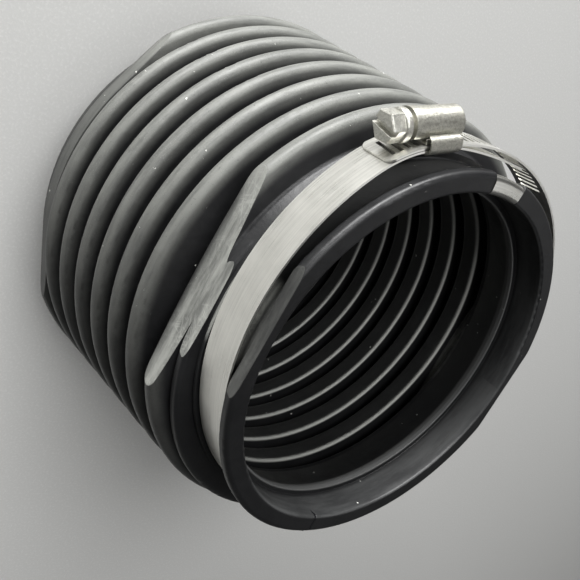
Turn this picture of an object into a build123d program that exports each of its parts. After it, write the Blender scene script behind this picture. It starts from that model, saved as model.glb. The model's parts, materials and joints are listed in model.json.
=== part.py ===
"""Corrugated rubber bellows boot with its worm-drive band clamp and grounding clip.

Millimetres.  The boot's axis is +Z: z = 0 is the rear face that it stands on,
z = boot_length is the clamp-end mouth.  The moulded flats face +X and -X.
"""
from build123d import *
from math import cos, radians, sin
import os

os.makedirs("parts", exist_ok=True)

# ---------------------------------------------------------------- boot sizes
boot_length = 142.0
wall = 2.0                    # moulded wall of the folds

# clamp-end collar, down from the mouth face
lip_radius = 65.5
lip_height = 3.8
lip_round = 1.5
lip_back_round = 1.0
clamp_groove_radius = 62.6
clamp_groove_height = 14.4
shoulder_radius = 64.8
shoulder_height = 1.3
mouth_round = 0.9
mouth_bore_radius = 59.0
mouth_bore_depth = 11.0
seal_bead_radius = 56.8
seal_bead_height = 1.6
throat_radius = 60.9
throat_depth = 25.4

# rear collar, up from the rear face
rear_lip_radius = 60.0
rear_lip_height = 3.5
rear_groove_radius = 57.2
rear_groove_height = 13.8
rear_shoulder_radius = 60.8
rear_shoulder_height = 1.3
rear_bore_radius = 54.4
rear_throat_radius = 58.4
rear_throat_height = 22.4

# folds: fold 8 is nearest the clamp end, fold 1 nearest the rear face
fold_count = 8
first_fold_height = 29.49     # crest of fold 1 above the rear face
last_fold_depth = 29.35       # crest of fold 8 below the mouth face
fold_pitch = (boot_length - last_fold_depth - first_fold_height) / (fold_count - 1)
last_fold_radius = 74.8
fold_growth = 0.68            # each fold toward the rear is larger by this
last_root_radius = 63.0
root_shrink = 0.48            # each groove toward the rear is deeper by this
crest_half = 0.198 * fold_pitch   # half the flat top of a fold
root_half = 0.135 * fold_pitch    # half the flat bottom of a groove
tip_wall = 2.6                # rubber over the tip of a fold's hollow
ridge_round = 2.4

# the solid rings at either end of the folds
rear_ring_radius = 73.1
rear_ring_height = 22.4
ring_half = 1.75
ring_round = 0.85 * ring_half
rear_ring_foot_radius = 62.0

# the front ring stands off centre, so it runs out into the collar on the screw's side
front_ring_radius = 66.8
front_ring_shift = 6.1
front_ring_depth = 23.0
front_ring_rise = 7.4         # height of the ring's flanks
flank_spread = 1.2            # half the growth of the ring's thickness down its flanks
saddle_root_radius = 66.0     # valley between fold 8 and the collar
collar_root_radius = 64.1     # valley between the front ring and the clamp's groove
collar_root_drop = 0.5
valley_round = 1.2

# moulded flats
front_flat = 62.2             # centre to flat at the mouth face
front_flat_draft = 0.125      # the flats open by this much per mm of depth
flat_wall = 2.0
trim_depth = 4.66             # what is trimmed off fold 1 on both sides
trim_half = 22.0              # degrees; beyond it the trim runs out along a tangent
cut_overrun = 2.0             # how far the cut of the flats starts above the mouth face

gate_azimuth = 90.4
gate_radius = 0.7             # stub left by the moulding gate on the lip's rim
gate_stub = 0.5

# -------------------------------------------------------------- clamp sizes
band_width = 12.7
band_sheet = 0.65
band_drop = 4.3               # mouth-side edge of the band below the mouth face
groove_play = 0.15            # band to groove floor where it hugs the collar
layer_gap = 0.08              # between the two layers of band in the saddle

# the loose loop: radii of the inner face, and the azimuths where bends meet, in degrees
hug_from = 54.0
hug_to = 88.0
side_slack = 7.75             # how much wider than the hug this bend is
side_from = -37.2
bend_radius = 38.3
bend_from = -64.7
far_slack = 3.65
far_to = 247.0
saddle_flat = 5.6             # straight stretch inside the saddle
tongue_bend_radius = 30.0
tongue_bend_sweep = 12.0
tongue_radius = 150.0
tongue_sweep = 11.0
tail_sweep = 23.0
tail_corner = 2.4

slot_pitch = 2.7
slot_width = 1.2
slot_length = 8.0
slot_slant = 6.0
slot_count = 28

# screw, along its own axis from the middle of the saddle
thread_radius = 4.1           # the thread's crest
thread_mesh = 0.0             # how far the crest dips below the band's outer face
shank_radius = 3.05
shank_rear = -8.3
collar_radius = thread_radius
collar_front = 8.9
collar_thickness = 1.0
flange_radius = 4.75
flange_front = 13.0
flange_thickness = 2.0
hex_flats = 7.94
hex_height = 4.4
hex_chamfer = 0.35
driver_slot_width = 1.8
driver_slot_depth = 1.8
driver_slot_turn = -12.0

# screw housing
running_gap = 0.1
housing_sheet = 0.5
housing_bore = thread_radius + running_gap
housing_rear = -8.1
housing_front = 9.6
housing_collar_length = 3.0
housing_collar_lift = 0.2
housing_open_below = 2.6      # the ends of the barrel are open this far under the axis
foot_gap = 0.1
foot_length = 10.6
foot_rim_height = 1.5
rim_gap = 0.1                 # from the foot's rim to the lip that is folded over it

# saddle
saddle_sheet = 0.45
saddle_gap = 0.15             # room for the band's curve over the saddle
saddle_length = 11.6
foot_inset = 0.2              # from the saddle's end to the end of the housing's foot
saddle_side_gap = 0.25
saddle_lip = 2.0
saddle_round = 1.5
saddle_corner = 1.6           # round of the folded lips' corners

# --------------------------------------------------------------- clip sizes
clip_sheet = 0.5
clip_play = 0.06
clip_azimuth = -85.3
clip_width = 13.6             # degrees of rim that it covers
clip_inner_leg = 9.0
clip_outer_leg = 2.9
clip_round = 1.8

# the bed that the clip squeezes into the lip
outer_squeeze = 1.3
inner_squeeze = 0.5
top_squeeze = 0.3
bed_end_gap = 0.3             # degrees, between the clip's ends and the bed's
bed_foot_gap = 0.2            # below the clip's inner leg


def fold_z(k):
    return boot_length - last_fold_depth - (fold_count - k) * fold_pitch


def fold_radius(k):
    return last_fold_radius + (fold_count - k) * fold_growth


def root_radius(k):
    """Radius of the groove just behind fold k."""
    return last_root_radius - (fold_count - k) * root_shrink


def flank_slope(k):
    """How far a flank of fold k spreads for each mm down from its crest."""
    return (fold_pitch / 2 - crest_half - root_half) / (fold_radius(k) - root_radius(k))


def hollow_half(k, radius):
    """Half the width of the hollow inside fold k, one wall in from its flanks."""
    slope = flank_slope(k)
    return crest_half + slope * (fold_radius(k) - radius) - wall * (1 + slope**2) ** 0.5


def widest_round(half_width):
    """Largest round that both corners of a flat can take beside the steepest flanks."""
    slope = flank_slope(1)
    return 0.999 * half_width * ((1 + slope**2) ** 0.5 + slope)


trim_radius = fold_radius(1) - trim_depth
narrow_tip = hollow_half(1, fold_radius(1) - tip_wall)
wide_tip = hollow_half(fold_count, last_fold_radius - tip_wall)
tip_round = min(0.6 * wide_tip, widest_round(narrow_tip))
crest_round = min(1.1 * crest_half, widest_round(crest_half))
root_round = min(1.1 * root_half, widest_round(root_half))


# -------------------------------------------------------------- bellows boot
half_pitch = fold_pitch / 2
groove_top = boot_length - lip_height
groove_floor = groove_top - clamp_groove_height
front_ring_z = boot_length - front_ring_depth
rear_groove_top = rear_lip_height + rear_groove_height
rear_shoulder_top = rear_groove_top + rear_shoulder_height

skin = [
    (0, 0),
    (rear_lip_radius, 0),
    (rear_lip_radius, rear_lip_height),
    (rear_groove_radius, rear_lip_height),
    (rear_groove_radius, rear_groove_top),
    (rear_shoulder_radius, rear_groove_top),
    (rear_shoulder_radius, rear_shoulder_top),
    (rear_ring_radius, rear_ring_height - ring_half),
    (rear_ring_radius, rear_ring_height + ring_half),
    (rear_ring_foot_radius, fold_z(1) - half_pitch + root_half),
]
for k in range(1, fold_count + 1):
    skin.append((fold_radius(k), fold_z(k) - crest_half))
    skin.append((fold_radius(k), fold_z(k) + crest_half))
    if k < fold_count:
        skin.append((root_radius(k + 1), fold_z(k) + half_pitch - root_half))
        skin.append((root_radius(k + 1), fold_z(k) + half_pitch + root_half))
collar_root_z = groove_floor - shoulder_height - collar_root_drop
skin += [
    (saddle_root_radius, fold_z(fold_count) + half_pitch - root_half),
    (collar_root_radius, collar_root_z),
    (shoulder_radius, groove_floor - shoulder_height),
    (shoulder_radius, groove_floor),
    (clamp_groove_radius, groove_floor),
    (clamp_groove_radius, groove_top),
    (lip_radius, groove_top),
    (lip_radius, boot_length),
    (0, boot_length),
]

hollow = [
    (0, -1),
    (rear_bore_radius, -1),
    (rear_bore_radius, rear_groove_top),
    (rear_throat_radius, rear_throat_height),
    (rear_throat_radius, fold_z(1) - hollow_half(1, rear_throat_radius)),
]
for k in range(1, fold_count + 1):
    tip = fold_radius(k) - tip_wall
    hollow.append((tip, fold_z(k) - hollow_half(k, tip)))
    hollow.append((tip, fold_z(k) + hollow_half(k, tip)))
    if k < fold_count:
        foot = root_radius(k + 1) - wall
        hollow.append((foot, fold_z(k) + hollow_half(k, foot)))
        hollow.append((foot, fold_z(k + 1) - hollow_half(k + 1, foot)))
hollow += [
    (throat_radius, fold_z(fold_count) + hollow_half(fold_count, throat_radius)),
    (throat_radius, boot_length - throat_depth),
    (seal_bead_radius, boot_length - mouth_bore_depth - seal_bead_height),
    (seal_bead_radius, boot_length - mouth_bore_depth),
    (mouth_bore_radius, boot_length - mouth_bore_depth),
    (mouth_bore_radius, boot_length + 1),
    (0, boot_length + 1),
]


def toward(azimuth):
    return Vector(cos(radians(azimuth)), sin(radians(azimuth)))


def flat_cutter(inset):
    """What lies outside the flats and the trim on the +X side, moved in by inset."""
    reach = 2 * fold_radius(1)
    top = boot_length + cut_overrun
    low = fold_z(fold_count) - half_pitch
    near = front_flat - front_flat_draft * cut_overrun - inset
    far = front_flat + front_flat_draft * (boot_length - low) - inset
    with BuildPart(mode=Mode.PRIVATE) as cutter:
        with BuildSketch(Plane.XZ):
            Polygon((near, top), (far, low), (reach, low), (reach, top), align=None)
        extrude(amount=reach, both=True)
        with BuildSketch(Plane.XY.offset(rear_ring_height)):
            with BuildLine():
                trim = CenterArc((0, 0), trim_radius - inset, -trim_half, 2 * trim_half)
                run_out = Line(trim @ 1, trim @ 1 + toward(trim_half + 90) * reach)
                Polyline(
                    run_out @ 1,
                    run_out @ 1 + toward(0) * reach,
                    (trim @ 0 + toward(-trim_half - 90) * reach) + toward(0) * reach,
                    trim @ 0 + toward(-trim_half - 90) * reach,
                    trim @ 0,
                )
            make_face()
        extrude(amount=fold_z(1) + half_pitch - rear_ring_height)
    return cutter.part


bed_outer = lip_radius - outer_squeeze
bed_inner = mouth_bore_radius + inner_squeeze
bed_top = boot_length - top_squeeze


def rim_plane(azimuth):
    """Upright plane through the boot's axis: x outward at the azimuth, y up."""
    return Plane(origin=(0, 0, 0), x_dir=toward(azimuth), z_dir=toward(azimuth - 90))


def clip_bed():
    """What the clip squeezes out of the lip."""
    spill = mouth_round + lip_round
    bed_width = clip_width + 2 * bed_end_gap
    with BuildPart(mode=Mode.PRIVATE) as bed:
        with BuildSketch(rim_plane(clip_azimuth - bed_width / 2)) as section:
            with BuildLine():
                Polyline(
                    (mouth_bore_radius - spill, boot_length - clip_inner_leg - bed_foot_gap),
                    (bed_inner, boot_length - clip_inner_leg - bed_foot_gap),
                    (bed_inner, bed_top),
                    (bed_outer, bed_top),
                    (bed_outer, groove_top),
                    (lip_radius + spill, groove_top),
                    (lip_radius + spill, boot_length + spill),
                    (mouth_bore_radius - spill, boot_length + spill),
                    close=True,
                )
            make_face()
            bed_corners = corners_at(section, [(bed_inner, bed_top), (bed_outer, bed_top)])
            fillet(bed_corners, clip_round - clip_sheet)
        revolve(axis=Axis.Z, revolution_arc=bed_width)
    return bed.part


def corners_at(sketch, points):
    """The sketch's corners nearest to the given points."""
    return [sketch.vertices().sort_by_distance(point)[0] for point in points]


with BuildPart() as core:
    with BuildSketch(Plane.XZ) as core_profile:
        with BuildLine():
            Polyline(*hollow, close=True)
        make_face()
        folds = core_profile.vertices().filter_by(
            lambda v: fold_z(1) - half_pitch < v.Y < fold_z(fold_count) + half_pitch
        )
        tips = folds.filter_by(lambda v: v.X > last_fold_radius - tip_wall - 1)
        ridges = folds.filter_by(lambda v: v.X < last_fold_radius - tip_wall - 1)
        fillet(tips, tip_round)
        fillet(ridges.sort_by(Axis.Y)[1:-1], ridge_round)
    revolve(axis=Axis.Z)
    for side in (0, 180):
        add(flat_cutter(flat_wall).rotate(Axis.Z, side), mode=Mode.SUBTRACT)

with BuildPart() as bellows_boot:
    with BuildSketch(Plane.XZ) as skin_profile:
        with BuildLine():
            Polyline(*skin, close=True)
        make_face()
        fillet(corners_at(skin_profile, [(lip_radius, boot_length)]), lip_round)
        fillet(corners_at(skin_profile, [(lip_radius, groove_top)]), lip_back_round)
        ring_edges = [
            (rear_ring_radius, rear_ring_height - ring_half),
            (rear_ring_radius, rear_ring_height + ring_half),
        ]
        fillet(corners_at(skin_profile, ring_edges), ring_round)
        valley = (saddle_root_radius, fold_z(fold_count) + half_pitch - root_half)
        fillet(corners_at(skin_profile, [valley]), valley_round)
        folds = skin_profile.vertices().filter_by(
            lambda v: fold_z(1) - half_pitch < v.Y < fold_z(fold_count) + half_pitch
        )
        crests = folds.filter_by(lambda v: v.X > last_fold_radius - 1)
        roots = folds.filter_by(lambda v: v.X < last_root_radius + 0.5)
        fillet(crests, crest_round)
        fillet(roots, root_round)
    revolve(axis=Axis.Z)
    with BuildSketch(Plane.XZ.offset(-front_ring_shift)) as front_ring:
        foot = front_ring_radius - front_ring_rise
        with BuildLine():
            Polyline(
                (0, front_ring_z - ring_half - flank_spread),
                (foot, front_ring_z - ring_half - flank_spread),
                (front_ring_radius, front_ring_z - ring_half),
                (front_ring_radius, front_ring_z + ring_half),
                (foot, front_ring_z + ring_half + flank_spread),
                (0, front_ring_z + ring_half + flank_spread),
                close=True,
            )
        make_face()
        fillet(front_ring.vertices().sort_by(Axis.X)[-2:], ring_round)
    revolve(axis=Axis((0, front_ring_shift, 0), (0, 0, 1)))
    for side in (0, 180):
        add(flat_cutter(0).rotate(Axis.Z, side), mode=Mode.SUBTRACT)
    add(core.part, mode=Mode.SUBTRACT)
    mouth_face = bellows_boot.faces().sort_by(Axis.Z)[-1]
    fillet(mouth_face.inner_wires()[0].edges(), mouth_round)
    gate_plane = Plane.YZ.rotated((0, 0, gate_azimuth)).offset(lip_radius - 1)
    with BuildSketch(gate_plane):
        with Locations((0, boot_length - lip_height / 2)):
            Circle(gate_radius)
    extrude(amount=1 + gate_stub)
    add(clip_bed(), mode=Mode.SUBTRACT)


# ------------------------------------------------------------------ the loop
# Every bend is a circular arc that meets its neighbour at an azimuth, so each
# bend's centre follows from the one before it, starting at the boot's axis.
hug_radius = clamp_groove_radius + groove_play
side_radius = hug_radius + side_slack
far_radius = hug_radius + far_slack
side_centre = toward(hug_from) * (hug_radius - side_radius)
bend_centre = side_centre + toward(side_from) * (side_radius - bend_radius)
saddle_front = bend_centre + toward(bend_from) * bend_radius
outward = toward(bend_from)
along = toward(bend_from + 90)
saddle_back = saddle_front - along * saddle_flat
tongue_bend_centre = saddle_back - outward * tongue_bend_radius
tongue_bend_from = bend_from - tongue_bend_sweep
tongue_centre = tongue_bend_centre + toward(tongue_bend_from) * (
    tongue_bend_radius - tongue_radius
)

# the outer layer runs back over the tongue; its last bend closes the loop
layer_rise = band_sheet + layer_gap
far_centre = toward(hug_to) * (hug_radius - far_radius)
far_end = far_centre + toward(far_to) * far_radius
closing_sweep = bend_from + 360 - far_to
closing_radius = (layer_rise - (far_end - saddle_front).dot(outward)) / (
    1 - cos(radians(closing_sweep))
)
closing_centre = far_centre + toward(far_to) * (far_radius - closing_radius)
tail_radius = bend_radius + layer_rise


def outer_layer(lift):
    """Line of the slotted end of the band, lift outside its inner face."""
    closing = CenterArc(closing_centre, closing_radius + lift, far_to, closing_sweep)
    tail = CenterArc(bend_centre, tail_radius + lift, bend_from, tail_sweep)
    Line(closing @ 1, tail @ 0)
    return closing, tail


def band_line(lift):
    """Line of the whole band from the tongue's tip to the tail's, lift outside its inner face."""
    tip = tongue_bend_from - tongue_sweep
    tongue = CenterArc(tongue_centre, tongue_radius + lift, tip, tongue_sweep)
    tongue_bend = CenterArc(
        tongue_bend_centre, tongue_bend_radius + lift, tongue_bend_from, tongue_bend_sweep
    )
    bend = CenterArc(bend_centre, bend_radius + lift, bend_from, side_from - bend_from)
    Line(tongue_bend @ 1, bend @ 0)
    CenterArc(side_centre, side_radius + lift, side_from, hug_from - side_from)
    CenterArc((0, 0), hug_radius + lift, hug_from, hug_to - hug_from)
    CenterArc(far_centre, far_radius + lift, hug_to, far_to - hug_to)
    closing, tail = outer_layer(lift)
    return tongue @ 0, tail @ 1


band_top = boot_length - band_drop
band_middle = band_top - band_width / 2

with BuildLine() as slot_path:
    outer_layer(band_sheet / 2)
slot_wire = slot_path.wire()

with BuildPart() as clamp_band:
    with BuildSketch(Plane.XY.offset(band_top - band_width)):
        with BuildLine():
            inner_start, inner_end = band_line(0)
            outer_start, outer_end = band_line(band_sheet)
            Line(inner_start, outer_start)
            Line(inner_end, outer_end)
        make_face()
    extrude(amount=band_width)
    tip_edges = clamp_band.edges().filter_by(lambda e: abs(e.length - band_sheet) < 0.01)
    tail_edges = tip_edges.filter_by(lambda e: (e.center() - saddle_front).dot(along) > 0)
    fillet(tail_edges, tail_corner)
    last_slot = slot_wire.length - tail_corner - slot_pitch / 2
    for i in range(slot_count):
        place = slot_wire.location_at(last_slot - i * slot_pitch, PositionMode.LENGTH)
        with Locations(Location((0, 0, band_middle)) * place):
            Box(
                band_sheet + layer_gap,
                slot_length,
                slot_width,
                rotation=(slot_slant, 0, 0),
                mode=Mode.SUBTRACT,
            )

# ------------------------------------------------- screw, housing and saddle
# All three are drawn on planes square to the screw: x up the boot's axis,
# y outward, z along the screw toward its head.
axis_height = 2 * band_sheet + layer_gap + thread_radius - thread_mesh
saddle_middle = saddle_front - along * saddle_flat / 2
screw_plane = Plane(
    origin=saddle_middle + outward * axis_height + Vector(0, 0, band_middle),
    x_dir=(0, 0, 1),
    z_dir=along,
)
band_outer = thread_mesh - thread_radius            # outer face of the slotted layer
band_inner = -axis_height                           # inner face of the inner layer

with BuildPart() as worm_screw:
    with BuildSketch(screw_plane.offset(shank_rear)):
        Circle(shank_radius)
    extrude(amount=flange_front - shank_rear)
    with BuildSketch(screw_plane.offset(collar_front - collar_thickness)):
        Circle(collar_radius)
    extrude(amount=collar_thickness)
    with BuildSketch(screw_plane.offset(flange_front - flange_thickness)):
        Circle(flange_radius)
    extrude(amount=flange_thickness)
    flange_edge = worm_screw.edges().filter_by(GeomType.CIRCLE).sort_by(
        lambda e: e.center().dot(along)
    )[-1]
    fillet(flange_edge, 0.35 * flange_thickness)
    with BuildSketch(screw_plane.offset(flange_front)):
        RegularPolygon(hex_flats / 2, 6, major_radius=False)
    extrude(amount=hex_height)
    head_face = worm_screw.faces().sort_by(lambda f: f.center().dot(along))[-1]
    chamfer(head_face.edges(), hex_chamfer)
    with BuildSketch(screw_plane.offset(flange_front + hex_height)):
        Rectangle(3 * hex_flats, driver_slot_width, rotation=driver_slot_turn)
    extrude(amount=-driver_slot_depth, mode=Mode.SUBTRACT)

foot_bottom = band_outer + foot_gap
foot_half = saddle_length / 2 - foot_inset
with BuildPart() as screw_housing:
    with BuildSketch(screw_plane.offset(-foot_half)) as housing_section:
        Circle(housing_bore + housing_sheet)
        with Locations((0, foot_bottom - housing_bore)):
            Rectangle(4 * housing_bore, 2 * housing_bore, mode=Mode.SUBTRACT)
        with Locations((0, foot_bottom)):
            Rectangle(foot_length, housing_sheet, align=(Align.CENTER, Align.MIN))
        for side in (-1, 1):
            with Locations((side * (foot_length - housing_sheet) / 2, foot_bottom)):
                Rectangle(housing_sheet, foot_rim_height, align=(Align.CENTER, Align.MIN))
        Circle(housing_bore, mode=Mode.SUBTRACT)
    extrude(amount=2 * foot_half)
    for start, end, lift in (
        (housing_rear, -foot_half, 0),
        (foot_half, housing_front, 0),
        (housing_front - housing_collar_length, housing_front, housing_collar_lift),
    ):
        with BuildSketch(screw_plane.offset(start)):
            Circle(housing_bore + housing_sheet + lift)
            with Locations((0, -housing_open_below)):
                Rectangle(
                    4 * housing_bore,
                    2 * housing_bore,
                    align=(Align.CENTER, Align.MAX),
                    mode=Mode.SUBTRACT,
                )
            Circle(housing_bore, mode=Mode.SUBTRACT)
        extrude(amount=end - start)
    for start in (housing_rear, housing_front - housing_sheet):
        with BuildSketch(screw_plane.offset(start)):
            Circle(housing_bore + housing_sheet / 2)
            with Locations((0, -housing_open_below)):
                Rectangle(
                    4 * housing_bore,
                    2 * housing_bore,
                    align=(Align.CENTER, Align.MAX),
                    mode=Mode.SUBTRACT,
                )
            Circle(shank_radius + running_gap, mode=Mode.SUBTRACT)
        extrude(amount=housing_sheet)

half_width = band_width / 2 + saddle_side_gap + saddle_sheet
saddle_floor = band_inner - saddle_gap - saddle_sheet
saddle_top = foot_bottom + foot_rim_height + rim_gap + saddle_sheet
with BuildPart() as clamp_saddle:
    with BuildSketch(screw_plane.offset(-saddle_length / 2)):
        with BuildLine():
            section = FilletPolyline(
                (half_width - saddle_lip, saddle_top),
                (half_width, saddle_top),
                (half_width, saddle_floor),
                (-half_width, saddle_floor),
                (-half_width, saddle_top),
                (-half_width + saddle_lip, saddle_top),
                radius=saddle_round,
            )
            offset(section, amount=-saddle_sheet, side=Side.LEFT)
        make_face()
    extrude(amount=saddle_length)
    lip_ends = clamp_saddle.faces().filter_by(
        lambda f: abs(f.normal_at().Z) > 0.99 and abs(f.area - saddle_sheet * saddle_length) < 0.01
    )
    for lip_end in lip_ends:
        short_edges = lip_end.edges().filter_by(lambda e: abs(e.length - saddle_sheet) < 0.01)
        fillet(short_edges, saddle_corner)

# --------------------------------------------------------------- ground clip
clip_outer = bed_outer + clip_play + clip_sheet
clip_inner = bed_inner - clip_play - clip_sheet
clip_top = bed_top + clip_play + clip_sheet
with BuildPart() as ground_clip:
    with BuildSketch(rim_plane(clip_azimuth - clip_width / 2)):
        with BuildLine():
            clip_line = FilletPolyline(
                (clip_outer, boot_length - clip_outer_leg),
                (clip_outer, clip_top),
                (clip_inner, clip_top),
                (clip_inner, boot_length - clip_inner_leg),
                radius=clip_round,
            )
            offset(clip_line, amount=-clip_sheet, side=Side.LEFT)
        make_face()
    revolve(axis=Axis.Z, revolution_arc=clip_width)

for name, piece in (
    ("bellows_boot", bellows_boot),
    ("clamp_band", clamp_band),
    ("clamp_saddle", clamp_saddle),
    ("screw_housing", screw_housing),
    ("worm_screw", worm_screw),
    ("ground_clip", ground_clip),
):
    piece.part.label = name
    export_step(piece.part, f"parts/{name}.step")
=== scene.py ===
"""Finishes, worm thread, floor, light and camera for the rubber bellows boot.

Metres, in the frame of the solid model: the boot stands on its rear end, its axis is +Z,
and azimuths are degrees about that axis, measured from +X.
"""
import json
from math import cos, radians, sin, tau

import bpy
from mathutils import Matrix, Vector


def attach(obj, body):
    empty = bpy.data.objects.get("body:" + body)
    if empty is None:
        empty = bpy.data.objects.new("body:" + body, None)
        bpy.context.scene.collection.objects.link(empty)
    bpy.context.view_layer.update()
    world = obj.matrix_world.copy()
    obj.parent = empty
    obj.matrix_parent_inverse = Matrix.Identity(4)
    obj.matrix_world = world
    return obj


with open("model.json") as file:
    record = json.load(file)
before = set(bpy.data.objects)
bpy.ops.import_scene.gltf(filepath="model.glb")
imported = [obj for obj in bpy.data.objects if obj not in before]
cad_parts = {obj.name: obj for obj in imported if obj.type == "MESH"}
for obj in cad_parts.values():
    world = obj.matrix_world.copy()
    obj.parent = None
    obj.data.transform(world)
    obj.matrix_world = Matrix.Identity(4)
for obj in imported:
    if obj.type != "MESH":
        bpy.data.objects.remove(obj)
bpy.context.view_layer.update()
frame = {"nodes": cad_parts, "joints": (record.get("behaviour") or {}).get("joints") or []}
nodes = frame["nodes"]
scene = bpy.context.scene
scene.view_settings.view_transform = "Standard"

# ------------------------------------------------------------ sizes, as in the solids
BOOT_LENGTH = 0.142
MOUTH_DEPTH = 0.011
LIP_HEIGHT = 0.0038
BORE_RADIUS = 0.0592
BEAD_RADIUS = 0.0570
BEAD_FROM_Z = 0.127
OUTER_WALL_RADIUS = 0.0608    # outside it only the outer wall lies, at the height of the flats
LIP_FLAT_DEPTH = 0.0065
FIRST_FOLD_Z = 0.02949
LAST_FOLD_Z = 0.11265
LAST_CREST_RADIUS = 0.0748
CREST_GROWTH = 0.0572         # of the folds' crests, per metre toward the rear
LAST_RIDGE_RADIUS = 0.06124   # of the inner ridges' crests, at the last fold
RIDGE_GROWTH = -0.0404
FLATS_FROM_Z = 0.1065
KNIT_AZIMUTH = 91.0
SHEEN_AZIMUTH = -60.0         # the side whose crests are painted lighter, as painted sheen where the light falls
RIDGE_HIGHLIGHT_AZIMUTH = 175.0      # where the painted highlight on the ridges inside is brightest
# under the band's slotted tail: the bend's centre, the face between the two layers of band,
# and the azimuths about that centre where the tail starts and ends
BEND_CENTRE = (0.021093, -0.025738)
LAYER_RADIUS = 0.03899
TAIL_FROM = -64.7
TAIL_TO = -41.7

screw_joint = frame["joints"][0]
SCREW_ORIGIN = Vector(screw_joint["pos_m"])
SCREW_AXIS = Vector(screw_joint["axis"])

# the worm thread, along the screw from the middle of the saddle
THREAD_CREST = 0.00405
THREAD_ROOT = 0.0029
THREAD_PITCH = 0.0027
THREAD_START = -0.0070
THREAD_END = 0.0074
THREAD_FOOT_WIDTH = 0.0017
THREAD_CREST_WIDTH = 0.0006
THREAD_STEPS_PER_TURN = 64


# --------------------------------------------------------------------- shader helpers
class Shader:
    """One material and the few node shapes that the finishes here are built from."""

    def __init__(self, name):
        self.material = bpy.data.materials.new(name)
        self.material.use_nodes = True
        self.tree = self.material.node_tree
        self.surface = self.tree.nodes["Principled BSDF"]
        self.place = self.node("ShaderNodeTexCoord").outputs["Object"]

    def node(self, kind, **settings):
        made = self.tree.nodes.new(kind)
        for key, value in settings.items():
            setattr(made, key, value)
        return made

    def put(self, socket, value):
        if isinstance(value, bpy.types.NodeSocket):
            self.tree.links.new(value, socket)
        else:
            socket.default_value = value

    def math(self, operation, a, b=0.0):
        made = self.node("ShaderNodeMath", operation=operation)
        self.put(made.inputs[0], a)
        self.put(made.inputs[1], b)
        return made.outputs[0]

    def smooth(self, value, start, end, low=0.0, high=1.0):
        """value between start and end, eased into low to high."""
        made = self.node("ShaderNodeMapRange", interpolation_type="SMOOTHSTEP")
        self.put(made.inputs["Value"], value)
        ends = {"From Min": start, "From Max": end, "To Min": low, "To Max": high}
        for name, number in ends.items():
            made.inputs[name].default_value = number
        return made.outputs[0]

    def noise(self, scale, detail=4.0, stretch=(1, 1, 1), place=None, roughness=0.5):
        mapping = self.node("ShaderNodeMapping")
        mapping.inputs["Scale"].default_value = stretch
        self.put(mapping.inputs["Vector"], place or self.place)
        made = self.node("ShaderNodeTexNoise")
        self.put(made.inputs["Vector"], mapping.outputs[0])
        made.inputs["Scale"].default_value = scale
        made.inputs["Detail"].default_value = detail
        made.inputs["Roughness"].default_value = roughness
        return made.outputs["Fac"]

    def scratches(self, scale, turn):
        """Fine straight lines, turned that many degrees from upright and broken up."""
        mapping = self.node("ShaderNodeMapping")
        mapping.inputs["Rotation"].default_value = (radians(turn), 0, 0)
        self.put(mapping.inputs["Vector"], self.place)
        lines = self.noise(scale, 2, (1, 1, 0.035), mapping.outputs[0], 0.7)
        gaps = self.smooth(self.noise(90, 3), 0.42, 0.6)
        return self.math("MULTIPLY", self.smooth(lines, 0.57, 0.63), gaps)

    def mix(self, factor, a, b):
        """Colour a where factor is 0, b where it is 1."""
        made = self.node("ShaderNodeMix", data_type="RGBA")
        self.put(made.inputs[0], factor)
        for socket, colour in ((made.inputs[6], a), (made.inputs[7], b)):
            given = isinstance(colour, bpy.types.NodeSocket)
            self.put(socket, colour if given else (*colour, 1))
        return made.outputs[2]

    def find_round_place(self):
        """Radius, azimuth in turns and height about the boot's axis, apart and joined."""
        parts = self.node("ShaderNodeSeparateXYZ")
        self.put(parts.inputs[0], self.place)
        x, y, self.height = parts.outputs
        squares = self.math("ADD", self.math("MULTIPLY", x, x), self.math("MULTIPLY", y, y))
        self.radius = self.math("SQRT", squares)
        self.turns = self.math("DIVIDE", self.math("ARCTAN2", y, x), tau)
        joined = self.node("ShaderNodeCombineXYZ")
        for socket, value in zip(joined.inputs, (self.radius, self.turns, self.height)):
            self.put(socket, value)
        self.round_place = joined.outputs[0]

    def toward(self, azimuth):
        """1 on the side that faces an azimuth, -1 on the far side."""
        apart = self.math("SUBTRACT", self.turns, azimuth / 360)
        return self.math("COSINE", self.math("MULTIPLY", apart, tau))

    def band_of_height(self, start, end, low=0.0, high=1.0):
        """low below the height start, eased into high above end."""
        return self.smooth(self.height, start, end, low, high)

    def soft_edges(self, radius):
        """The surface's own normal, with every sharp edge rounded off."""
        made = self.node("ShaderNodeBevel", samples=6)
        self.put(made.inputs["Radius"], radius)
        return made.outputs[0]

    def edge_toward_mouth(self, radius):
        """1 where a rounded edge starts to face up, fading to 0 on upright faces."""
        parts = self.node("ShaderNodeSeparateXYZ")
        self.put(parts.inputs[0], self.soft_edges(radius))
        return self.smooth(parts.outputs[2], 0.02, 0.6)

    def bump(self, height, strength, distance, under=None):
        made = self.node("ShaderNodeBump")
        made.inputs["Strength"].default_value = strength
        made.inputs["Distance"].default_value = distance
        self.put(made.inputs["Height"], height)
        if under is not None:
            self.put(made.inputs["Normal"], under)
        return made.outputs[0]

    def finish(self, colour, roughness, normal=None, metallic=0.0):
        self.put(self.surface.inputs["Base Color"], colour)
        self.put(self.surface.inputs["Roughness"], roughness)
        self.surface.inputs["Metallic"].default_value = metallic
        if normal is not None:
            self.put(self.surface.inputs["Normal"], normal)
        return self.material


# -------------------------------------------------------------------------- the rubber
def black_rubber(s, bloom):
    patches = s.smooth(s.noise(60, 6, roughness=0.65), 0.35, 0.7)
    black = s.mix(patches, (0.006, 0.0061, 0.0066), (0.010, 0.0102, 0.0108))
    return s.mix(s.math("MULTIPLY", bloom, 0.08), black, (0.05, 0.051, 0.05))


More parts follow.
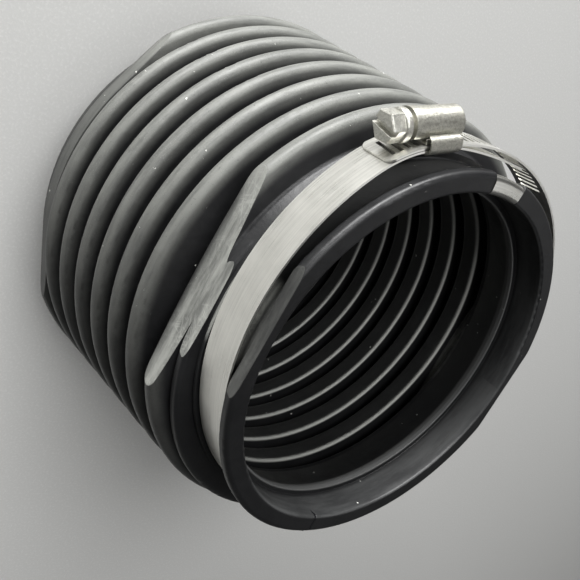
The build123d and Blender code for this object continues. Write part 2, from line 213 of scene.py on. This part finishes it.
def fold_crests(s, down):
    """1 on the crests of the folds, fading to 0 down in the grooves."""
    crest = s.math("ADD", LAST_CREST_RADIUS, s.math("MULTIPLY", down, CREST_GROWTH))
    first_fold_top = FIRST_FOLD_Z + 0.005
    reach = s.band_of_height(first_fold_top, first_fold_top + 0.002, 0.010, 0.0052)
    depth = s.math("DIVIDE", s.math("SUBTRACT", crest, s.radius), reach)
    return s.smooth(depth, 0.15, 0.95, 1.0, 0.0)


def off_ridge_tips(s, down):
    """How far out a point lies from the cone through the tips of the inner ridges."""
    tip = s.math("ADD", LAST_RIDGE_RADIUS, s.math("MULTIPLY", down, RIDGE_GROWTH))
    return s.math("SUBTRACT", s.radius, tip)


def ridge_faces(s, off_tips):
    """1 on the tips of the inner ridges alone."""
    tips = s.smooth(off_tips, 0.00003, 0.0002, 1.0, 0.0)
    return s.math("MULTIPLY", tips, s.band_of_height(LAST_FOLD_Z, LAST_FOLD_Z + 0.001, 1.0, 0.0))


def dust_and_sheen_places(s, down, off_tips, speckle):
    """The crests and, less, the inner ridges, greyed by dust and lightened as a painted sheen; most
    on the side where the light falls, as painted light.
    """
    inner = s.math("MULTIPLY", ridge_faces(s, off_tips), 0.3)
    dust_and_sheen = s.math("MAXIMUM", fold_crests(s, down), inner)
    # painted light: the greying is strongest on the side the light falls on
    lit_side = s.smooth(s.toward(SHEEN_AZIMUTH), -0.25, 1.0, 0.3, 1.0)
    dust_and_sheen = s.math("MULTIPLY", dust_and_sheen, lit_side)
    ragged = s.math("ADD", dust_and_sheen, s.math("SUBTRACT", speckle, 0.5))
    ragged = s.math("MULTIPLY", s.smooth(ragged, 0.2, 0.8), s.smooth(dust_and_sheen, 0.0, 0.2))
    even = s.math("MULTIPLY", dust_and_sheen, 0.75)
    return s.math("ADD", even, s.math("MULTIPLY", ragged, 0.25))


def dust_and_sheen_grey(s, bloom, speckle):
    rubbed = s.smooth(s.noise(1.0, 6, (150, 24, 500), s.round_place, 0.65), 0.3, 0.65)
    grey = s.mix(rubbed, (0.095, 0.0968, 0.0905), (0.158, 0.161, 0.148))
    grey = s.mix(s.math("MULTIPLY", bloom, 0.3), grey, (0.17, 0.172, 0.17))
    grey = s.mix(s.math("MULTIPLY", speckle, 0.75), grey, (0.025, 0.0255, 0.025))
    lint = s.smooth(s.noise(2400, 4, roughness=0.8), 0.55, 0.72)
    tufts = s.smooth(s.noise(45, 4, roughness=0.6), 0.4, 0.65)
    lint = s.math("MULTIPLY", s.math("MULTIPLY", lint, tufts), 0.55)
    return s.mix(lint, grey, (0.36, 0.364, 0.33))


def near_ridge_tips(s, off_tips):
    """1 on the tips of the inner ridges and just beside them."""
    near = s.smooth(off_tips, 0.0002, 0.0012, 1.0, 0.0)
    return s.math("MULTIPLY", near, s.band_of_height(LAST_FOLD_Z, LAST_FOLD_Z + 0.001, 1.0, 0.0))


def painted_ridge_highlights(s, near_tips):
    # Painted highlight: pale on the rounded edges of the inner ridges that face the mouth,
    # brightest toward one azimuth.
    edges = s.math("MULTIPLY", s.edge_toward_mouth(0.0022), near_tips)
    return s.math("MULTIPLY", edges, s.smooth(s.toward(RIDGE_HIGHLIGHT_AZIMUTH), -0.7, 0.8, 0.35, 1.0))


def worn_bore(s):
    """The bore of the mouth, smeared grey where the pipe goes in."""
    start = BOOT_LENGTH - MOUTH_DEPTH
    bore = s.band_of_height(start, start + 0.002)
    bore = s.math("MULTIPLY", bore, s.smooth(s.radius, BORE_RADIUS, BORE_RADIUS + 0.0005, 1.0, 0.0))
    smear = s.noise(1.0, 5, (60, 9, 160), s.round_place, 0.7)
    return s.math("MULTIPLY", bore, s.smooth(smear, 0.35, 0.65, 0.35, 1.0))


def painted_bead_highlight(s):
    """The bead behind the mouth's bore, where a pale line is painted as its highlight."""
    narrow = s.smooth(s.radius, BEAD_RADIUS, BEAD_RADIUS + 0.0006, 1.0, 0.0)
    return s.math("MULTIPLY", narrow, s.band_of_height(BEAD_FROM_Z, BEAD_FROM_Z + 0.001))


def moulded_flats(s):
    """1 on the two flats near the mouth, faint on the lip, and fading out toward their rear edge as
    painted shade.
    """
    facing = s.node("ShaderNodeSeparateXYZ")
    s.put(facing.inputs[0], s.node("ShaderNodeNewGeometry").outputs["Normal"])
    sideways = s.math("ABSOLUTE", facing.outputs[0])
    flat = s.smooth(sideways, 0.975, 0.988)
    flat = s.math("MULTIPLY", flat, s.band_of_height(FLATS_FROM_Z, FLATS_FROM_Z + 0.002))
    outer_wall = s.smooth(s.radius, OUTER_WALL_RADIUS, OUTER_WALL_RADIUS + 0.0004)
    flat = s.math("MULTIPLY", flat, outer_wall)
    lip_foot = BOOT_LENGTH - LIP_FLAT_DEPTH
    flat = s.math("MULTIPLY", flat, s.band_of_height(lip_foot, lip_foot + 0.0015, 1.0, 0.22))
    # painted shade: the scuffs fade out toward the flats' rounded rear edge
    rise = FLATS_FROM_Z + 0.0018
    return s.math("MULTIPLY", flat, s.band_of_height(rise, rise + 0.005, 0.05, 1.0))


def crossed_scratches(s):
    crossed = s.math("MAXIMUM", s.scratches(1500, 22), s.scratches(1200, -31))
    return s.math("MAXIMUM", crossed, s.scratches(900, 64))


def scuffs_and_edge_shade(s, flat, scratches):
    cloudy = s.smooth(s.noise(1.0, 6, (170, 60, 420), roughness=0.7), 0.3, 0.7, 0.3, 0.85)
    return s.math("MULTIPLY", flat, s.math("ADD", cloudy, s.math("MULTIPLY", scratches, 0.2)))


def dust_specks(s, dust_and_sheen):
    """A few pale specks, thicker in some places than in others."""
    cells = s.node("ShaderNodeTexVoronoi")
    s.put(cells.inputs["Vector"], s.place)
    cells.inputs["Scale"].default_value = 420
    chance = s.node("ShaderNodeSeparateColor")
    s.put(chance.inputs[0], cells.outputs["Color"])
    crowd = s.smooth(s.noise(24, 2), 0.4, 0.66, 0.95, 0.62)
    clean = s.math("MULTIPLY", s.math("SUBTRACT", 1.0, dust_and_sheen), 0.1)
    chosen = s.math("GREATER_THAN", chance.outputs[0], s.math("ADD", crowd, clean))
    size = s.math("MULTIPLY", chance.outputs[1], 0.21)
    ragged = s.math("MULTIPLY", s.math("SUBTRACT", s.noise(3000, 2), 0.35), 0.5)
    away = s.math("ADD", cells.outputs["Distance"], ragged)
    return s.math("MULTIPLY", chosen, s.math("LESS_THAN", away, size))


def knit_line(s):
    """The dark line across the lip where the mould's flow met."""
    away = s.math("ABSOLUTE", s.math("SUBTRACT", s.turns, KNIT_AZIMUTH / 360))
    wander = s.math("MULTIPLY", s.math("SUBTRACT", s.noise(420, 3), 0.5), 0.0016)
    line = s.smooth(s.math("ADD", away, wander), 0.0010, 0.0018, 1.0, 0.0)
    on_lip = s.band_of_height(BOOT_LENGTH - LIP_HEIGHT, BOOT_LENGTH - 0.002)
    return s.math("MULTIPLY", line, on_lip)


def rubber_relief(s, near_tips, line, scratches, flat):
    softness = s.math("ADD", 0.0006, s.math("MULTIPLY", near_tips, 0.0011))
    ripple = s.noise(260, 4, roughness=0.55)
    grain = s.noise(2600, 3, roughness=0.6)
    normal = s.bump(ripple, 0.2, 0.0006, s.soft_edges(softness))
    normal = s.bump(grain, 0.2, 0.00012, normal)
    normal = s.bump(s.math("MULTIPLY", line, -1.0), 0.6, 0.0006, normal)
    return s.bump(s.math("MULTIPLY", scratches, flat), 0.1, 0.0001, normal)


def moulded_rubber():
    """Black rubber with crests greyed by dust and a painted sheen, scuffed flats with painted shade
    at their rear edges, a worn mouth, dust, the knit line, and painted highlights on the inner
    ridges' edges and on the bead.
    """
    s = Shader("moulded_rubber")
    s.find_round_place()
    bloom = s.smooth(s.noise(420, 8, roughness=0.75), 0.5, 0.8)
    speckle = s.smooth(s.noise(1500, 4, roughness=0.8), 0.56, 0.7)
    down = s.math("SUBTRACT", LAST_FOLD_Z, s.height)
    off_tips = off_ridge_tips(s, down)
    near_tips = near_ridge_tips(s, off_tips)
    dust_and_sheen = dust_and_sheen_places(s, down, off_tips, speckle)
    flat = moulded_flats(s)
    scratches = crossed_scratches(s)
    line = knit_line(s)

    # crests greyed by dust and lightened as a painted sheen
    colour = s.mix(dust_and_sheen, black_rubber(s, bloom), dust_and_sheen_grey(s, bloom, speckle))
    # painted highlight on the edges of the inner ridges
    colour = s.mix(painted_ridge_highlights(s, near_tips), colour, (0.42, 0.426, 0.40))
    colour = s.mix(worn_bore(s), colour, (0.045, 0.046, 0.046))
    # painted highlight on the bead
    colour = s.mix(painted_bead_highlight(s), colour, (0.1, 0.101, 0.1))
    # scuffs on the flats, with painted shade at their rear edges
    colour = s.mix(scuffs_and_edge_shade(s, flat, scratches), colour, (0.25, 0.254, 0.235))
    specks = s.math("MULTIPLY", dust_specks(s, dust_and_sheen), 0.85)
    colour = s.mix(specks, colour, (0.62, 0.62, 0.58))
    colour = s.mix(line, colour, (0.003, 0.003, 0.004))

    roughness = s.smooth(s.noise(110, 6, roughness=0.65), 0.3, 0.7, 0.38, 0.46)
    roughness = s.math("ADD", roughness, s.math("MULTIPLY", dust_and_sheen, 0.12))
    s.surface.inputs["IOR"].default_value = 1.42
    return s.finish(colour, roughness, rubber_relief(s, near_tips, line, scratches, flat))


# ---------------------------------------------------------------------------- the steel
def between_layers(s):
    """1 on the face under the band's slotted tail, 0 elsewhere: it is seen through the slots, and
    it marks where painted shade darkens the band.
    """
    moved = s.node("ShaderNodeVectorMath", operation="SUBTRACT")
    s.put(moved.inputs[0], s.place)
    moved.inputs[1].default_value = (*BEND_CENTRE, 0)
    parts = s.node("ShaderNodeSeparateXYZ")
    s.put(parts.inputs[0], moved.outputs[0])
    x, y, _ = parts.outputs
    squares = s.math("ADD", s.math("MULTIPLY", x, x), s.math("MULTIPLY", y, y))
    off = s.math("ABSOLUTE", s.math("SUBTRACT", s.math("SQRT", squares), LAYER_RADIUS))
    azimuth = s.math("MULTIPLY", s.math("ARCTAN2", y, x), 360 / tau)
    after_start = s.smooth(azimuth, TAIL_FROM - 8, TAIL_FROM - 7)
    before_end = s.smooth(azimuth, TAIL_TO - 2, TAIL_TO, 1.0, 0.0)
    under = s.math("MULTIPLY", after_start, before_end)
    return s.math("MULTIPLY", under, s.smooth(off, 0.00007, 0.00012, 1.0, 0.0))


def brushed_steel(name, streaks, dark, light, shade_in_slots=False):
    """Stainless steel brushed along the way in which streaks squeezes the least."""
    s = Shader(name)
    s.find_round_place()
    lines = s.noise(1.0, 4, streaks, s.round_place, 0.7)
    fine = s.noise(3200, 3, roughness=0.65)
    cloud = s.noise(90, 4, roughness=0.6)
    tone = s.math("ADD", s.math("MULTIPLY", lines, 0.6), s.math("MULTIPLY", cloud, 0.4))
    colour = s.mix(s.smooth(tone, 0.35, 0.65), dark, light)
    # painted shade on the face under the slotted tail, where it shows through the slots
    if shade_in_slots:
        colour = s.mix(between_layers(s), colour, (0.13, 0.128, 0.118))
    roughness = s.smooth(tone, 0.3, 0.7, 0.26, 0.36)
    normal = s.bump(lines, 0.12, 0.0001)
    normal = s.bump(fine, 0.06, 0.00008, normal)
    return s.finish(colour, roughness, normal, 1.0)


def pressed_steel(name, dark, light):
    """Stainless steel with the fine dents, pits and dull spots of a stamping."""
    s = Shader(name)
    dents = s.noise(1500, 5, roughness=0.7)
    cloud = s.noise(1300, 5, roughness=0.7)
    pits = s.smooth(s.noise(2200, 3, roughness=0.7), 0.56, 0.68)
    colour = s.mix(s.smooth(cloud, 0.3, 0.7), dark, light)
    colour = s.mix(s.math("MULTIPLY", pits, 0.6), colour, (0.2, 0.195, 0.165))
    roughness = s.smooth(cloud, 0.3, 0.7, 0.34, 0.46)
    normal = s.bump(dents, 0.7, 0.0002, s.soft_edges(0.0002))
    return s.finish(colour, roughness, normal, 1.0)


# ---------------------------------------------------------------------------- the floor
def floor_finish():
    """Plain pale matt floor."""
    s = Shader("floor_finish")
    grain = s.noise(900, 3, roughness=0.7)
    colour = s.mix(s.smooth(grain, 0.45, 0.8), (0.60, 0.60, 0.585), (0.69, 0.69, 0.675))
    s.surface.inputs["IOR"].default_value = 1.15
    return s.finish(colour, 0.9, s.bump(grain, 0.1, 0.0003))


# ------------------------------------------------------------------------ worm thread
def thread_tree():
    """A helix with a wedge-shaped section, laid along the screw's own axis."""
    tree = bpy.data.node_groups.new("worm_thread_tree", "GeometryNodeTree")
    values = (
        ("Pitch", THREAD_PITCH),
        ("Length", THREAD_END - THREAD_START),
        ("Root radius", THREAD_ROOT),
        ("Thread height", THREAD_CREST - THREAD_ROOT),
        ("Foot width", THREAD_FOOT_WIDTH),
        ("Crest width", THREAD_CREST_WIDTH),
    )
    for name, value in values:
        socket = tree.interface.new_socket(name, in_out="INPUT", socket_type="NodeSocketFloat")
        socket.default_value = value
    tree.interface.new_socket("Material", in_out="INPUT", socket_type="NodeSocketMaterial")
    tree.interface.new_socket("Geometry", in_out="OUTPUT", socket_type="NodeSocketGeometry")
    add, link = tree.nodes.new, tree.links.new
    given = add("NodeGroupInput").outputs

    def maths(operation, a, b):
        node = add("ShaderNodeMath")
        node.operation = operation
        for socket, value in zip(node.inputs, (a, b)):
            if isinstance(value, bpy.types.NodeSocket):
                link(value, socket)
            else:
                socket.default_value = value
        return node.outputs[0]

    turns = maths("DIVIDE", given["Length"], given["Pitch"])
    helix = add("GeometryNodeCurveSpiral")
    helix.inputs["Resolution"].default_value = THREAD_STEPS_PER_TURN
    link(turns, helix.inputs["Rotations"])
    link(given["Root radius"], helix.inputs["Start Radius"])
    link(given["Root radius"], helix.inputs["End Radius"])
    link(given["Length"], helix.inputs["Height"])
    upright = add("GeometryNodeSetCurveNormal")
    upright.mode = "Z_UP"
    link(helix.outputs[0], upright.inputs["Curve"])

    section = add("GeometryNodeCurvePrimitiveQuadrilateral")
    section.mode = "TRAPEZOID"
    link(given["Foot width"], section.inputs["Bottom Width"])
    link(given["Crest width"], section.inputs["Top Width"])
    link(given["Thread height"], section.inputs["Height"])
    section.inputs["Offset"].default_value = 0

    sweep = add("GeometryNodeCurveToMesh")
    sweep.inputs["Fill Caps"].default_value = True
    link(upright.outputs[0], sweep.inputs["Curve"])
    link(section.outputs[0], sweep.inputs["Profile Curve"])
    real = add("GeometryNodeRealizeInstances")
    link(sweep.outputs[0], real.inputs[0])
    paint = add("GeometryNodeSetMaterial")
    link(real.outputs[0], paint.inputs["Geometry"])
    link(given["Material"], paint.inputs["Material"])
    link(paint.outputs[0], add("NodeGroupOutput").inputs[0])
    return tree


def made_by(tree, name, values):
    """The plain mesh that a tree makes, as an object of that name."""
    seed_mesh = bpy.data.meshes.new(name)
    seed = bpy.data.objects.new(name, seed_mesh)
    scene.collection.objects.link(seed)
    modifier = seed.modifiers.new("tree", "NODES")
    modifier.node_group = tree
    for item in tree.interface.items_tree:
        if item.in_out == "INPUT" and item.name in values:
            modifier[item.identifier] = values[item.name]
    ready = seed.evaluated_get(bpy.context.evaluated_depsgraph_get())
    mesh = bpy.data.meshes.new_from_object(ready)
    seed.modifiers.remove(modifier)
    seed.data = mesh
    return seed


def add_worm_thread(steel):
    """Made upright about the origin, then laid along the screw."""
    thread = made_by(thread_tree(), "worm_thread", {"Material": steel})
    across = SCREW_AXIS.cross(Vector((0, 0, 1))).normalized()
    turn = Matrix((across, SCREW_AXIS.cross(across), SCREW_AXIS)).transposed().to_4x4()
    start = SCREW_ORIGIN + SCREW_AXIS * THREAD_START
    thread.data.transform(Matrix.Translation(start) @ turn)
    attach(thread, "screw")
    return thread


# ------------------------------------------------------------------ floor, light, camera
def add_floor():
    """A square that reaches far past the lamps."""
    half = 4.0
    mesh = bpy.data.meshes.new("floor")
    corners = [(-half, -half, 0), (half, -half, 0), (half, half, 0), (-half, half, 0)]
    mesh.from_pydata(corners, [], [(0, 1, 2, 3)])
    mesh.materials.append(floor_finish())
    floor = bpy.data.objects.new("floor", mesh)
    scene.collection.objects.link(floor)


def add_lamp(name, azimuth, elevation, distance, width, height, power):
    data = bpy.data.lights.new(name, "AREA")
    data.shape = "RECTANGLE"
    data.size, data.size_y = width, height
    data.energy = power
    lamp = bpy.data.objects.new(name, data)
    out = Vector((
        cos(radians(elevation)) * cos(radians(azimuth)),
        cos(radians(elevation)) * sin(radians(azimuth)),
        sin(radians(elevation)),
    ))
    target = Vector((0, 0, BOOT_LENGTH / 2))
    turn = out.to_track_quat("Z", "Y").to_matrix().to_4x4()
    lamp.matrix_world = Matrix.Translation(target + out * distance) @ turn
    scene.collection.objects.link(lamp)


def add_sky(strength):
    world = bpy.data.worlds.new("sky")
    scene.world = world
    world.use_nodes = True
    sky = world.node_tree.nodes["Background"]
    sky.inputs["Color"].default_value = (1.0, 1.0, 1.0, 1)
    sky.inputs["Strength"].default_value = strength


def add_camera():
    """Close, above the mouth, and rolled so that the clamp lies at the top right."""
    right = Vector((-0.67396, -0.48459, 0.55763))
    up = Vector((0.20492, -0.84782, -0.48909))
    data = bpy.data.cameras.new("camera")
    data.sensor_width = 36
    data.lens = 47.17
    data.clip_start = 0.01
    camera = bpy.data.objects.new("camera", data)
    turn = Matrix((right, up, right.cross(up))).transposed().to_4x4()
    stand = Vector((0.19775, -0.05400, 0.26838))
    camera.matrix_world = Matrix.Translation(stand) @ turn
    scene.collection.objects.link(camera)
    scene.camera = camera


# ------------------------------------------------------------------------------ dress
def coat(node, material):
    """Give a solid its finish and leave its mesh alone."""
    node.data.materials.clear()
    node.data.materials.append(material)


ALONG_BAND = (6.0, 14.0, 2600.0)
ALONG_RIM = (1800.0, 8.0, 60.0)
rubber = moulded_rubber()
band_steel = brushed_steel(
    "band_steel",
    ALONG_BAND,
    dark=(0.68, 0.674, 0.635),
    light=(0.84, 0.832, 0.785),
    shade_in_slots=True,
)
clip_steel = brushed_steel(
    "clip_steel",
    ALONG_RIM,
    dark=(0.68, 0.675, 0.63),
    light=(0.90, 0.89, 0.84),
)
housing_steel = pressed_steel("housing_steel", dark=(0.35, 0.344, 0.30), light=(0.56, 0.55, 0.495))
screw_steel = pressed_steel("screw_steel", dark=(0.46, 0.455, 0.41), light=(0.66, 0.652, 0.60))

coat(nodes["bellows_boot"], rubber)
coat(nodes["clamp_band"], band_steel)
coat(nodes["clamp_saddle"], housing_steel)
coat(nodes["screw_housing"], housing_steel)
coat(nodes["worm_screw"], screw_steel)
coat(nodes["ground_clip"], clip_steel)
add_worm_thread(screw_steel)

add_floor()
add_lamp("window", azimuth=-66, elevation=4, distance=2.6, width=2.6, height=0.5, power=230)
add_lamp("ceiling", azimuth=-52, elevation=80, distance=1.0, width=0.5, height=0.5, power=1.5)
add_lamp("room", azimuth=-52, elevation=50, distance=1.1, width=0.6, height=0.4, power=8)
add_lamp("far_wall", azimuth=190, elevation=46, distance=1.2, width=0.6, height=0.4, power=0.8)
add_sky(0.08)
add_camera()
